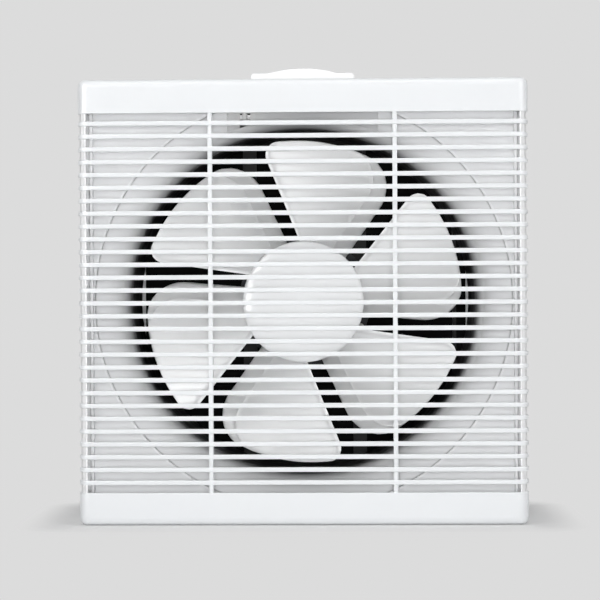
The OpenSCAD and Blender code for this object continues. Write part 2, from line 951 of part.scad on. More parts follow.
// Screws and nuts that hold the motor's flange to the straps
module motor_mount_screws() {
    color("silver")
        for (x = [-strap_x, strap_x], z = [-mount_screw_z, mount_screw_z])
            translate([x, 0, z]) {
                rod_y(mount_head_r, shell_split - flange_t - mount_head_h, shell_split - flange_t);
                rod_y(mount_screw_r, shell_split - flange_t, shell_split + strap_t + mount_thread_h);
                translate([0, shell_split + strap_t, 0])
                    rotate([-90, 0, 0])
                        cylinder(r = mount_head_r, h = mount_nut_h, $fn = 6);
            }
}

module motor_case_screws() {
    color("silver")
        for (z = [-case_screw_z, case_screw_z])
            translate([0, 0, z]) {
                rod_y(case_head_r, shell_split + flange_t, shell_split + flange_t + case_head_h);
                rod_y(case_screw_r - press_gap, shell_split - flange_t, shell_split + flange_t);
            }
}

module stator_core() {
    color("gray")
        difference() {
            turned()
                translate([stator_bore, stator_front])
                    square([stator_r - stator_bore, stator_back - stator_front]);
            for (k = [0:slot_count - 1])
                rotate([0, 360 * (k + 0.5) / slot_count, 0])
                    translate([stator_bore - cut, stator_front - cut, -slot_w / 2])
                        cube([slot_d + cut, stator_back - stator_front + 2 * cut, slot_w]);
        }
}

// Wound ends of the stator, one bundle on each side of the core
module stator_coils() {
    color("peru")
        for (y = [stator_front - coil_h, stator_back])
            turned()
                translate([stator_bore + 3, y])
                    square([coil_w, coil_h]);
}

module bush(y0, y1) {
    color("darkgoldenrod")
        turned()
            translate([shaft_r + run_gap, y0])
                square([bush_r - press_gap - shaft_r - run_gap, y1 - y0]);
}

module front_bush() {
    bush(shell_boss_front, bush_front_end);
}

module rear_bush() {
    bush(bush_rear_start, shell_back - shell_wall);
}

module motor_shaft() {
    color("silver")
        turned()
            polygon([
                [0, hub_front], [thread_r - 0.5, hub_front], [thread_r, hub_front + 0.5],
                [thread_r, hub_disc_y + 0.6], [shaft_r, hub_disc_y + 0.6],
                [shaft_r, shaft_back - 0.5], [shaft_r - 0.5, shaft_back], [0, shaft_back]
            ]);
}

module rotor() {
    color("gray")
        turned()
            translate([shaft_r + press_gap, rotor_front])
                square([stator_bore - rotor_gap - shaft_r - press_gap, rotor_back - rotor_front]);
}

// ---- Impeller ----

// How far a tip corner of rounding c has drawn in at radius r, as an angle
function corner_in(r, c) =
    r <= tip_r - c ? 0 : (c - sqrt(max(0, c * c - pow(r - tip_r + c, 2)))) / r * 180 / PI;
// The two edges of a blade, measured from the gap before it
function trail_angle(r) = corner_in(r, trail_round) - asin(trail_offset / r);
function lead_angle(r) =
    blade_step - lead_back - asin(lead_offset / r) - corner_in(r, lead_round);
function row_r(i) = root_r + (tip_r - root_r) * sin(90 * i / blade_rows);
function column_share(j) = j / blade_columns;
function blade_point(i, j, shift) =
    let (
        r = row_r(i),
        s = column_share(j),
        a0 = trail_angle(r),
        a1 = lead_angle(r),
        a = a0 + (a1 - a0) * s,
        bent = a0 + (a1 - a0) * (s + blade_camber * sin(180 * s)),
        y = blade_mid_y - blade_lead * (bent - blade_mid_angle) * PI / 180
    )
    [r * cos(a), y + shift, r * sin(a)];

// One blade: a helical sheet between two straight edges with rounded tips
module blade() {
    rows = blade_rows + 1;
    cols = blade_columns + 1;
    half = rows * cols;
    polyhedron(
        points = [
            for (i = [0:blade_rows], j = [0:blade_columns]) blade_point(i, j, -blade_t / 2),
            for (i = [0:blade_rows], j = [0:blade_columns]) blade_point(i, j, blade_t / 2)
        ],
        faces = [
            for (i = [0:blade_rows - 1], j = [0:blade_columns - 1])
                let (p = i * cols + j)
                each [
                    [p, p + 1, p + cols + 1], [p, p + cols + 1, p + cols],
                    [half + p, half + p + cols + 1, half + p + 1],
                    [half + p, half + p + cols, half + p + cols + 1]
                ],
            for (j = [0:blade_columns - 1], i = [0, blade_rows])
                let (p = i * cols + j, q = p + half)
                each i == 0
                    ? [[p, q + 1, p + 1], [p, q, q + 1]]
                    : [[p, p + 1, q + 1], [p, q + 1, q]],
            for (i = [0:blade_rows - 1], j = [0, blade_columns])
                let (p = i * cols + j, q = p + half)
                each j == 0
                    ? [[p, p + cols, q + cols], [p, q + cols, q]]
                    : [[p, q + cols, p + cols], [p, q, q + cols]]
        ]
    );
}

module impeller() {
    color("white")
        union() {
            turned() {
                translate([hub_r - hub_wall, hub_front])
                    square([hub_wall, hub_back - hub_front]);
                translate([shaft_r + press_gap, hub_disc_y])
                    square([hub_r - hub_wall / 2 - shaft_r - press_gap, hub_disc_t]);
                translate([shaft_r + press_gap, hub_disc_y])
                    square([hub_boss_r - shaft_r - press_gap, hub_boss_end - hub_disc_y]);
            }
            for (k = [0:blade_count - 1])
                rotate([0, -blade_step * k, 0])
                    translate([hub_boss_r - cut, hub_disc_y + cut, -hub_web_t / 2])
                        cube([hub_r - hub_wall / 2 - hub_boss_r + cut, hub_web_h, hub_web_t]);
            for (k = [0:blade_count - 1])
                rotate([0, -(first_gap_angle + blade_step * k), 0])
                    blade();
        }
}

module impeller_washer() {
    color("silver")
        turned()
            translate([thread_r + run_gap, hub_disc_y - washer_t])
                square([washer_r - thread_r - run_gap, washer_t]);
}

module impeller_nut() {
    color("silver")
        difference() {
            translate([0, hub_disc_y - washer_t - nut_h, 0])
                rotate([-90, 0, 0])
                    cylinder(r = nut_r, h = nut_h, $fn = 6);
            rod_y(thread_r + press_gap, hub_disc_y - washer_t - nut_h - cut, hub_disc_y);
        }
}

// Height of the dome over its rim at radius r, for a dome of radius R and height h
function dome_rise(r, R, h) = h * pow(1 - pow(r / R, dome_power), 1 / dome_power);
function dome_r(i, R) = R * sin(90 * i / dome_steps);

module spinner_cap() {
    inner = hub_r - spinner_wall;
    spigot_root = dome_rise(spigot_r - spinner_wall, inner, dome_h - spinner_wall) + spinner_wall / 8;
    color("white")
        turned() {
            polygon([
                for (i = [0:dome_steps])
                    [dome_r(i, hub_r), hub_front - dome_rise(dome_r(i, hub_r), hub_r, dome_h)],
                for (i = [dome_steps:-1:0])
                    [dome_r(i, inner),
                        hub_front - dome_rise(dome_r(i, inner), inner, dome_h - spinner_wall)]
            ]);
            translate([spigot_r - spinner_wall, hub_front - spigot_root])
                square([spinner_wall, spinner_spigot + spigot_root]);
        }
}

// ---- Shutters ----

module shutter_frame() {
    color("white")
        difference() {
            union() {
                slab(frame_front, frame_front + frame_plate_t)
                    ring2d(frame_in, frame_out);
                slab(frame_front, sleeve_end)
                    ring2d(frame_out - frame_wall, frame_out);
                for (side = [0, 1])
                    mirror([side, 0, 0])
                        translate([strip_in, strip_y, -frame_out + frame_wall - cut])
                            cube([strip_t + cut, strip_d, 2 * (frame_out - frame_wall + cut)]);
                translate([-frame_out + cut, hinge_y - valance_t / 2, valance_bottom])
                    cube([2 * (frame_out - cut), valance_t, frame_out - valance_bottom - cut]);
            }
            for (i = [1:shutter_count])
                translate([0, hinge_y, hinge_z(i)]) {
                    rod_x(hinge_pin_r + run_gap, strip_in - cut, pin_end + seat_gap);
                    rod_x(hinge_pin_r + run_gap, -pin_end - seat_gap, -strip_in + cut);
                }
            for (side = [-1, 1], z = [-1, 1])
                translate([0, sleeve_screw_y, z * sleeve_size / 4])
                    rod_x(sleeve_screw_r, side * frame_out - 2 * frame_wall,
                        side * frame_out + 2 * frame_wall);
        }
}

// Screws that hold the shutter frame in the sleeve
module shutter_frame_screws() {
    color("silver")
        for (side = [0, 1], z = [-1, 1])
            mirror([side, 0, 0])
                translate([0, sleeve_screw_y, z * sleeve_size / 4]) {
                    rod_x(sleeve_screw_r - press_gap, frame_out - frame_wall, sleeve_size / 2);
                    rod_x(sleeve_head_r, sleeve_size / 2, sleeve_size / 2 + sleeve_head_h);
                }
}

// One shutter, with its hinge at the origin: leaning blade, barrel, pins and crank
module shutter() {
    color("dimgray") {
        across(-flap_half, flap_half)
            polygon([
                [-flap_t / 2, 0], [flap_lean - flap_t / 2, -flap_len + flap_lip],
                [flap_lean + flap_lip_out, -flap_len], [flap_lean + flap_lip_out + flap_t, -flap_len],
                [flap_lean + flap_t / 2, -flap_len + flap_lip], [flap_t / 2, 0]
            ]);
        rod_x(barrel_r, -flap_half, flap_half);
        rod_x(hinge_pin_r, -pin_end, pin_end);
        across(crank_x, crank_x + crank_t) {
            rotate(180 - crank_angle)
                translate([0, -crank_w / 2])
                    square([crank_r, crank_w]);
            translate([crank_y, crank_z])
                circle(r = crank_boss_r);
        }
        translate([0, crank_y, crank_z])
            rod_x(link_pin_r, crank_x, link_pin_end);
    }
}

module shutter_1() {
    translate([0, hinge_y, hinge_z(1)])
        shutter();
}

module shutter_2() {
    translate([0, hinge_y, hinge_z(2)])
        shutter();
}

module shutter_3() {
    translate([0, hinge_y, hinge_z(3)])
        shutter();
}

module shutter_4() {
    translate([0, hinge_y, hinge_z(4)])
        shutter();
}

// The bar that makes the shutters turn together
module shutter_link() {
    color("dimgray")
        translate([0, hinge_y + crank_y, crank_z])
            across(link_x, link_x + link_t)
                difference() {
                    union() {
                        translate([-link_w / 2, hinge_z(shutter_count)])
                            square([link_w, hinge_z(1) - hinge_z(shutter_count)]);
                        for (i = [1:shutter_count])
                            translate([0, hinge_z(i)])
                                circle(r = link_eye_r);
                    }
                    for (i = [1:shutter_count])
                        translate([0, hinge_z(i)])
                            circle(r = link_pin_r + run_gap);
                }
}

grille_front_bars();
grille_top_band();
grille_bottom_band();
grille_side_left();
grille_side_right();
grille_latches();
frame_panel();
bell_mouth();
duct_tube();
wall_sleeve();
wall_gasket();
wiring_cover();
wiring_cover_screws();
cord_grommet();
terminal_block();
terminal_screws();
capacitor();
motor_lead();
lead_clips();
motor_strap_left();
motor_strap_right();
strap_screws();
motor_front_shell();
motor_rear_shell();
motor_mount_screws();
motor_case_screws();
stator_core();
stator_coils();
front_bush();
rear_bush();
motor_shaft();
rotor();
impeller();
impeller_washer();
impeller_nut();
spinner_cap();
shutter_frame();
shutter_frame_screws();
shutter_1();
shutter_2();
shutter_3();
shutter_4();
shutter_link();
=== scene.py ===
"""Window exhaust fan: a white louvred cover over a six-blade impeller in a round duct.

Metres. +Z is up, the room is on the -Y side, and the origin is on the fan axis at the wall face.
"""

import math

import bmesh
import bpy
from mathutils import Matrix, Vector


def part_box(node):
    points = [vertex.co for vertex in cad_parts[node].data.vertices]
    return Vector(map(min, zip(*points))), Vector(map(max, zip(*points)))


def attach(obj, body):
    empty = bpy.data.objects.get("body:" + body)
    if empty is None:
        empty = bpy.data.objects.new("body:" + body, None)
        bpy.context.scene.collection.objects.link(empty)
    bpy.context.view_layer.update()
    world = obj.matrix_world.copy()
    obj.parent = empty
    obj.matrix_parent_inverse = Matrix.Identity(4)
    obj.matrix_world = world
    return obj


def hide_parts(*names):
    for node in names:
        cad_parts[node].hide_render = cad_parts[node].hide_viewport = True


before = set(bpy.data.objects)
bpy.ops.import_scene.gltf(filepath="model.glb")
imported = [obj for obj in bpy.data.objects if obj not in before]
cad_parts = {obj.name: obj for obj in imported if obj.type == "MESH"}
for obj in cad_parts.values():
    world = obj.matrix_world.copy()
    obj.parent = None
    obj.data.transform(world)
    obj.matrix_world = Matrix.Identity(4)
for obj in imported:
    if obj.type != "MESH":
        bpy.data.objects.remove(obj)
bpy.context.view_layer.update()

MM = 0.001

# ---- Sizes, from the frame where it has them ----

top_band_low, top_band_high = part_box("grille_top_band")
bottom_band_low, bottom_band_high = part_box("grille_bottom_band")
_, bars_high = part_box("grille_front_bars")
hub_low, hub_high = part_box("spinner_cap")
impeller_low, impeller_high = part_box("impeller")
_, duct_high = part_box("duct_tube")
_, mouth_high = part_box("bell_mouth")
_, surround_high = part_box("shutter_frame")

COVER_HALF = top_band_high.x
COVER_TOP = top_band_high.z
COVER_FRONT = top_band_low.y
COVER_BACK = top_band_high.y
OPEN_TOP = top_band_low.z
OPEN_BOTTOM = bottom_band_high.z
OPEN_HEIGHT = OPEN_TOP - OPEN_BOTTOM
FLOOR_Z = bottom_band_low.z

COVER_WALL = 2.5 * MM
SIDE_ROUND = COVER_HALF - bars_high.x
EDGE_ROUND = 6.5 * MM
EDGE_STEPS = 12
CORNER_ROUND = 6 * MM
CORNER_STEPS = 12
CORNER_SHARPENED = 0.8  # share of the corner's rounding that is gone at the front face
BAND_LAP = 1 * MM  # how far posts and ribs run in behind the bands

SLAT_COUNT = 29
SLAT_HEIGHT = 4 * MM
SLAT_FACE = 3.5 * MM  # height that is drawn: the moulded edges fall away
SLAT_DEPTH = 3 * MM
SLAT_ROUND = 0.8 * MM
SLAT_ROUND_STEPS = 4
SLAT_TURN_STEPS = 10
SLAT_PITCH = SLAT_HEIGHT + (OPEN_HEIGHT - SLAT_COUNT * SLAT_HEIGHT) / (SLAT_COUNT + 1)
FIRST_SLAT_Z = OPEN_BOTTOM + SLAT_PITCH - SLAT_HEIGHT / 2
RIB_X = 70.0 * MM
RIB_WIDTH = 3.5 * MM
RIB_DEPTH = 4.5 * MM
RIB_SET_BACK = 0.5 * MM
POST_INSET = 1.2 * MM
POST_WALL = 4.5 * MM
POST_EDGE = 1.4 * MM
# width of the posts' inner edge that is painted pale as painted light
POST_PAINTED_LIGHT_EDGE = 1 * MM
POST_TURN_STEPS = 8

DUCT_WALL = 1.5 * MM
DUCT_R = duct_high.x - DUCT_WALL
MOUTH_R = mouth_high.x
PANEL_REAR_FROM = -5 * MM  # the panel's flanks behind this plane belong to its wall side
FLANK_LEAN = 0.3  # a flank's normal has less than this share along Y
SHUTTER_COUNT = 4

TIP_R = impeller_high.x
HUB_R = hub_high.x
HUB_FRONT = impeller_low.y
HUB_BACK = impeller_high.y
HUB_WALL = 2.3 * MM
HUB_DISC_Y = HUB_FRONT + 8 * MM
HUB_DISC_WALL = 2.5 * MM
HUB_BOSS_R = 9 * MM
HUB_BOSS_END = HUB_BACK - 4 * MM
SHAFT_R = 4 * MM
DOME_HEIGHT = HUB_FRONT - hub_low.y
DOME_POWER = 2.6
DOME_WALL = 2 * MM
DOME_STEPS = 48

BLADE_COUNT = 6
BLADE_STEP = 2 * math.pi / BLADE_COUNT
BLADE_WALL = 2.4 * MM
BLADE_ROOT = HUB_R - 1.6 * MM
BLADE_LEAD = 51 * MM
BLADE_MID_Y = HUB_BACK - 31 * MM
BLADE_MID_ANGLE = math.radians(24)
BLADE_CAMBER = 0.02
FIRST_GAP_ANGLE = math.radians(55)
LEAD_BACK = math.radians(3)
LEAD_OFFSET = 15 * MM
LEAD_CORNER = 13 * MM
TRAIL_OFFSET = 7.4 * MM
TRAIL_CORNER = 30 * MM
LIP_WIDTH = 3.4 * MM
LIP_RISE = 0.9 * MM
LIP_SLOPE = 0.6 * MM
LIP_BLEND = 0.05 * MM
FOLD_WIDTH = 13 * MM
FOLD_DROP = 0.3 * MM
FOLD_POWER = 1.5
RIDGE_WIDTH = 1.0 * MM
RIDGE_RISE = 0.5 * MM
ROUND_STEPS = 4  # rows over a blade's rounded edge
FOLD_STEPS = 7
MIDDLE_STEPS = 22
SPAN_STEPS = 26
SPAN_SHARE = 0.96  # share of a blade's span that has even rows

# ---- Materials ----

NOISE_LOW, NOISE_HIGH = 0.3, 0.7  # most of a noise texture's values lie between these


def grey(level):
    return (level, level, level)


class Finish:
    """A procedural material with one Principled shader, built up step by step."""

    def __init__(self, name, colour, roughness, metallic=0.0, specular=0.5, coat=0.0, coat_roughness=0.1):
        self.material = bpy.data.materials.new(name)
        self.material.use_nodes = True
        self.tree = self.material.node_tree
        self.shader = self.tree.nodes["Principled BSDF"]
        self.base = tuple(colour) + (1.0,)
        self.set("Base Color", self.base)
        self.set("Roughness", roughness)
        self.set("Metallic", metallic)
        self.set("Specular IOR Level", specular)
        self.set("Coat Weight", coat)
        self.set("Coat Roughness", coat_roughness)
        self.place = self.tree.nodes.new("ShaderNodeTexCoord")
        self.colour_out = None

    def set(self, socket, value):
        self.shader.inputs[socket].default_value = value

    def node(self, kind, **inputs):
        """A new node; an input's name is written with underscores for spaces."""
        made = self.tree.nodes.new(kind)
        for name, value in inputs.items():
            made.inputs[name.replace("_", " ")].default_value = value
        return made

    def link(self, out, into):
        self.tree.links.new(out, into)

    def noise(self, scale, detail=3.0, stretch=(1, 1, 1)):
        """Noise on Object coordinates; scale is in features to the metre."""
        turn = self.node("ShaderNodeMapping", Scale=stretch)
        self.link(self.place.outputs["Object"], turn.inputs["Vector"])
        made = self.node("ShaderNodeTexNoise", Scale=scale, Detail=detail)
        self.link(turn.outputs["Vector"], made.inputs["Vector"])
        return made.outputs["Fac"]

    def ramp(self, factor, stops):
        """Colours spread along a factor; stops are (place, colour)."""
        made = self.node("ShaderNodeValToRGB")
        points = made.color_ramp.elements
        while len(points) < len(stops):
            points.new(0.5)
        for point, (place, colour) in zip(points, stops):
            point.position = place
            point.color = tuple(colour) + (1.0,)
        self.link(factor, made.inputs["Fac"])
        return made.outputs["Color"]

    def tint(self, colour_out):
        """Multiplies the colour so far by another."""
        mix = self.tree.nodes.new("ShaderNodeMix")
        mix.data_type = "RGBA"
        mix.blend_type = "MULTIPLY"
        mix.inputs["Factor"].default_value = 1.0
        if self.colour_out is None:
            mix.inputs["A"].default_value = self.base
        else:
            self.link(self.colour_out, mix.inputs["A"])
        self.link(colour_out, mix.inputs["B"])
        self.colour_out = mix.outputs["Result"]
        self.link(self.colour_out, self.shader.inputs["Base Color"])

    def mottle(self, scale, amount, detail=3.0, stretch=(1, 1, 1)):
        """Slightly lighter and darker patches."""
        patches = self.noise(scale, detail, stretch)
        self.tint(self.ramp(patches, [(NOISE_LOW, grey(1.0 - amount)), (NOISE_HIGH, grey(1.0))]))

    def uneven_gloss(self, scale, low, high, stretch=(1, 1, 1)):
        """Roughness that wanders between two values."""
        spread = self.node(
            "ShaderNodeMapRange", From_Min=NOISE_LOW, From_Max=NOISE_HIGH, To_Min=low, To_Max=high
        )
        self.link(self.noise(scale, stretch=stretch), spread.inputs["Value"])
        self.link(spread.outputs["Result"], self.shader.inputs["Roughness"])

    def bump(self, scale, depth, detail=3.0, stretch=(1, 1, 1)):
        """Fine relief, depth in metres."""
        made = self.node("ShaderNodeBump", Strength=1.0, Distance=depth)
        self.link(self.noise(scale, detail, stretch), made.inputs["Height"])
        self.link(made.outputs["Normal"], self.shader.inputs["Normal"])

    def shade(self, distance, stops):
        """A painted shade that follows a distance; stops are (metres, shade)."""
        first, last = stops[0][0], stops[-1][0]
        share = self.node("ShaderNodeMapRange", From_Min=first, From_Max=last)
        self.link(distance, share.inputs["Value"])
        spread = [((metres - first) / (last - first), grey(shade)) for metres, shade in stops]
        self.tint(self.ramp(share.outputs["Result"], spread))

    def along_radius(self, stops):
        """A painted shade that follows the distance from the fan axis."""
        flat = self.node("ShaderNodeMapping", Scale=(1, 0, 1))
        self.link(self.place.outputs["Object"], flat.inputs["Vector"])
        away = self.tree.nodes.new("ShaderNodeVectorMath")
        away.operation = "LENGTH"
        self.link(flat.outputs["Vector"], away.inputs[0])
        self.shade(away.outputs["Value"], stops)

    def along_height(self, stops):
        """A painted shade that follows the height."""
        apart = self.tree.nodes.new("ShaderNodeSeparateXYZ")
        self.link(self.place.outputs["Object"], apart.inputs["Vector"])
        self.shade(apart.outputs["Z"], stops)

    def by_side(self, reach, inside, beyond):
        """One painted shade up to a distance from the upright middle plane, and another beyond it."""
        apart = self.tree.nodes.new("ShaderNodeSeparateXYZ")
        self.link(self.place.outputs["Object"], apart.inputs["Vector"])
        away = self.tree.nodes.new("ShaderNodeMath")
        away.operation = "ABSOLUTE"
        self.link(apart.outputs["X"], away.inputs[0])
        past = self.tree.nodes.new("ShaderNodeMath")
        past.operation = "GREATER_THAN"
        past.inputs[1].default_value = reach
        self.link(away.outputs["Value"], past.inputs[0])
        self.tint(self.ramp(past.outputs["Value"], [(0.0, grey(inside)), (1.0, grey(beyond))]))


def moulded(name, colour, roughness, coat=0.0, specular=0.5):
    """Moulded plastic: faint flow marks and a fine skin."""
    made = Finish(name, colour, roughness, specular=specular, coat=coat, coat_roughness=0.08)
    made.mottle(25, 0.004)
    made.uneven_gloss(60, roughness * 0.94, roughness * 1.06)
    made.bump(900, 0.006 * MM)
    return made


def painted(name, colour, roughness):
    """Painted steel: a slight orange peel."""
    made = Finish(name, colour, roughness, specular=0.45)
    made.mottle(40, 0.08)
    made.uneven_gloss(90, roughness * 0.8, roughness * 1.2)
    made.bump(700, 0.03 * MM)
    return made


def bare_metal(name, colour, roughness, stretch=(1, 1, 1)):
    """Bare or plated metal with fine streaks."""
    made = Finish(name, colour, roughness, metallic=1.0)
    made.mottle(150, 0.12, stretch=stretch)
    made.uneven_gloss(400, roughness * 0.75, roughness * 1.3, stretch=stretch)
    made.bump(1500, 0.006 * MM, stretch=stretch)
    return made


COVER_WHITE = moulded("cover_plastic", (0.77, 0.785, 0.80), 0.3, specular=0.35)
# Painted shade: the cover is painted slightly darker towards the bottom, as if lit from above.
COVER_WHITE.along_height([(FLOOR_Z, 0.95), (OPEN_BOTTOM, 0.99), (OPEN_TOP, 1.0)])

# Painted light and shade on the posts: the inner edge is painted pale to lift its shade, and the rest is
# painted darker.
POST_WHITE = moulded("post_plastic", (0.98, 0.98, 0.985), 0.3, specular=0.35)
POST_WHITE.by_side(COVER_HALF - SIDE_ROUND + POST_EDGE + POST_PAINTED_LIGHT_EDGE, inside=1.0, beyond=0.70)

# Painted light: the raised box is painted paler than the cover's white, for the light falling on it from
# above.
BOX_WHITE_PAINTED_LIGHT = moulded("box_plastic", (0.92, 0.92, 0.925), 0.3, specular=0.35)
PANEL_WHITE = moulded("panel_plastic", (0.92, 0.925, 0.935), 0.45)
SPINNER_WHITE = moulded("spinner_plastic", (0.85, 0.855, 0.86), 0.35, coat=0.6, specular=0.3)
BLADE_WHITE = moulded("blade_plastic", (0.975, 0.978, 0.98), 0.3, coat=0.2, specular=0.35)
# Painted light: the blades are painted paler towards the hub, to lift the shade near their roots.
BLADE_WHITE.along_radius([(HUB_R, 1.0), (HUB_R + 15 * MM, 1.0), (HUB_R + 45 * MM, 0.98), (TIP_R, 0.95)])

# Painted shade: the mouth is painted black at the duct and paler outwards, for the shade inside the
# throat, with a painted darker rounded edge at the seam.
MOUTH_WHITE = moulded("mouth_plastic", (0.92, 0.925, 0.935), 0.45)
MOUTH_WHITE.along_radius([
    (DUCT_R, 0.03), (DUCT_R + 0.8 * MM, 0.07), (DUCT_R + 1.8 * MM, 0.21), (DUCT_R + 3.9 * MM, 0.35),
    (DUCT_R + 6 * MM, 0.50), (DUCT_R + 8 * MM, 0.60), (DUCT_R + 10.3 * MM, 0.69),
    (DUCT_R + 12.6 * MM, 0.77), (DUCT_R + 17.3 * MM, 0.86), (DUCT_R + 22 * MM, 0.91),
    (MOUTH_R - 1.6 * MM, 0.92), (MOUTH_R - 0.8 * MM, 0.80), (MOUTH_R, 0.45),
])

# Painted shade and highlight on the panel: a painted dark line at the seam, a painted pale highlight line
# round it, and painted shade that pales towards its corners.
FRAME_WHITE = moulded("frame_plastic", (0.97, 0.975, 0.985), 0.45)
FRAME_WHITE.along_radius([
    (MOUTH_R, 0.7), (MOUTH_R + 0.4 * MM, 1.0), (MOUTH_R + 1.6 * MM, 1.0), (MOUTH_R + 2.2 * MM, 0.92),
    (180 * MM, 0.93), (205 * MM, 1.0),
])
FRAME_PAINTED_SHADE_FROM = 163.6 * MM
# Painted light: the mouth and the panel are painted paler towards the top, as if lit from above.
for finish in (MOUTH_WHITE, FRAME_WHITE):
    finish.along_height([(OPEN_BOTTOM, 0.92), (-50 * MM, 0.90), (50 * MM, 0.92), (OPEN_TOP, 1.0)])
# Painted shade: the panel's outer strips, beside the posts, are painted darker.
FRAME_WHITE.by_side(FRAME_PAINTED_SHADE_FROM, inside=1.0, beyond=0.86)

# Painted shade: the shutter frame is painted near black between its side flanges, where it lies in shade;
# only the flanges keep the pale plastic.
SURROUND_FLANGE = 9.5 * MM
SURROUND_WHITE = moulded("surround_plastic", (0.88, 0.885, 0.895), 0.45)
SURROUND_WHITE.by_side(surround_high.x - SURROUND_FLANGE, inside=0.012, beyond=1.0)

# Near black: the duct's black paint, made darker still as painted shade for the dark throat.
DUCT_BLACK = painted("duct_paint_and_shade", grey(0.006), 0.6)
STRAP_PAINT = painted("strap_paint", grey(0.02), 0.45)
MOTOR_PAINT = painted("motor_paint", (0.035, 0.035, 0.04), 0.35)
# Near black: black plastic shutters, made darker still as painted shade behind the fan.
SHUTTER_BLACK = moulded("shutter_plastic", grey(0.005), 0.7, specular=0.15)
DARK_PLASTIC = moulded("dark_plastic", grey(0.02), 0.5)
CAPACITOR_BLACK = moulded("capacitor_case", (0.03, 0.03, 0.034), 0.4)
TERMINAL_CREAM = moulded("terminal_plastic", (0.80, 0.77, 0.68), 0.45)
LEAD_WHITE = moulded("lead_sheath", grey(0.7), 0.4)
ZINC = bare_metal("zinc_screw", (0.62, 0.62, 0.60), 0.35)
TERMINAL_PLATE = bare_metal("plated_brass_screw", (0.82, 0.80, 0.76), 0.6)
BRONZE = bare_metal("bush_bronze", (0.60, 0.40, 0.18), 0.5)
SHAFT_STEEL = bare_metal("shaft_steel", (0.60, 0.60, 0.62), 0.22, stretch=(1, 20, 1))
CORE_STEEL = bare_metal("core_steel", (0.40, 0.40, 0.42), 0.45, stretch=(1, 60, 1))
COPPER = bare_metal("winding_copper", (0.55, 0.22, 0.09), 0.35, stretch=(1, 12, 1))

FOAM = Finish("gasket_foam", grey(0.05), 0.95, specular=0.2)
FOAM.mottle(500, 0.5, detail=5.0)
FOAM.bump(900, 0.3 * MM, detail=5.0)
RUBBER = Finish("grommet_rubber", grey(0.8), 0.6, specular=0.4)
RUBBER.mottle(80, 0.2)
RUBBER.bump(1200, 0.02 * MM)

NODE_FINISHES = {
    "grille_latches": COVER_WHITE,
    "frame_panel": PANEL_WHITE,
    "duct_tube": DUCT_BLACK,
    "wall_sleeve": PANEL_WHITE,
    "wall_gasket": FOAM,
    "wiring_cover": BOX_WHITE_PAINTED_LIGHT,
    "wiring_cover_screws": ZINC,
    "cord_grommet": RUBBER,
    "terminal_block": TERMINAL_CREAM,
    "terminal_screws": TERMINAL_PLATE,
    "capacitor": CAPACITOR_BLACK,
    "motor_lead": LEAD_WHITE,
    "lead_clips": DARK_PLASTIC,
    "motor_strap_left": STRAP_PAINT,
    "motor_strap_right": STRAP_PAINT,
    "strap_screws": ZINC,
    "motor_front_shell": MOTOR_PAINT,
    "motor_rear_shell": MOTOR_PAINT,
    "motor_mount_screws": ZINC,
    "motor_case_screws": ZINC,
    "stator_core": CORE_STEEL,
    "stator_coils": COPPER,
    "front_bush": BRONZE,
    "rear_bush": BRONZE,
    "motor_shaft": SHAFT_STEEL,
    "rotor": CORE_STEEL,
    "impeller_washer": ZINC,
    "impeller_nut": ZINC,
    "shutter_frame": SURROUND_WHITE,
    "shutter_frame_screws": ZINC,
    "shutter_link": DARK_PLASTIC,
}
for number in range(1, SHUTTER_COUNT + 1):
    NODE_FINISHES[f"shutter_{number}"] = SHUTTER_BLACK

for node_name, node_finish in NODE_FINISHES.items():
    cad_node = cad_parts[node_name]
    cad_node.data.materials.clear()
    cad_node.data.materials.append(node_finish.material)

# ---- Making pieces ----

WELD = 0.001 * MM
FLAT_ANGLE = math.radians(0.5)
ROUND_SEGMENTS = 2
TURN_STEPS = 192


def add_object(name, mesh, finish=None):
    obj = bpy.data.objects.new(name, mesh)
    bpy.context.scene.collection.objects.link(obj)
    if finish is not None:
        mesh.materials.clear()
        mesh.materials.append(finish.material)
    return obj


def mesh_from(bm, name):
    mesh = bpy.data.meshes.new(name)
    bm.to_mesh(mesh)
    bm.free()
    return mesh


def shade_smooth(obj):
    for face in obj.data.polygons:
        face.use_smooth = True


def weigh_normals(obj):
    """Smooth shading in which the large faces stay flat."""
    shade_smooth(obj)
    weighted = obj.modifiers.new("even shading", "WEIGHTED_NORMAL")
    weighted.keep_sharp = True
    weighted.weight = 80


def round_edges(obj, width, angle=35):
    """Rounds the edges that are sharper than an angle in degrees."""
    bevel = obj.modifiers.new("rounded edges", "BEVEL")
    bevel.width = width
    bevel.segments = ROUND_SEGMENTS
    bevel.limit_method = "ANGLE"
    bevel.angle_limit = math.radians(angle)
    bevel.use_clamp_overlap = True
    weigh_normals(obj)


def settle(obj):
    """Turns an object and its modifiers into one plain mesh."""
    graph = bpy.context.evaluated_depsgraph_get()
    mesh = bpy.data.meshes.new_from_object(obj.evaluated_get(graph))
    obj.modifiers.clear()
    obj.data = mesh
    return obj


def softened(node, name, finish, width):
    """A copy of a CAD node with its facets joined and its edges rounded."""
    bm = bmesh.new()
    bm.from_mesh(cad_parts[node].data)
    bmesh.ops.remove_doubles(bm, verts=bm.verts, dist=WELD)
    bmesh.ops.dissolve_limit(
        bm, angle_limit=FLAT_ANGLE, verts=bm.verts, edges=bm.edges, use_dissolve_boundaries=False
    )
    obj = add_object(name, mesh_from(bm, name), finish)
    round_edges(obj, width)
    return settle(obj)


def put(obj, body, slot, *nodes):
    """Hangs a piece on its body in place of CAD nodes. The slot is not used."""
    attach(obj, body)
    if nodes:
        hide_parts(*nodes)


def join_loops(bm, loop, other):
    """Faces between two closed loops of as many points."""
    count = len(loop)
    for i in range(count):
        n = (i + 1) % count
        bm.faces.new((loop[i], loop[n], other[n], other[i]))


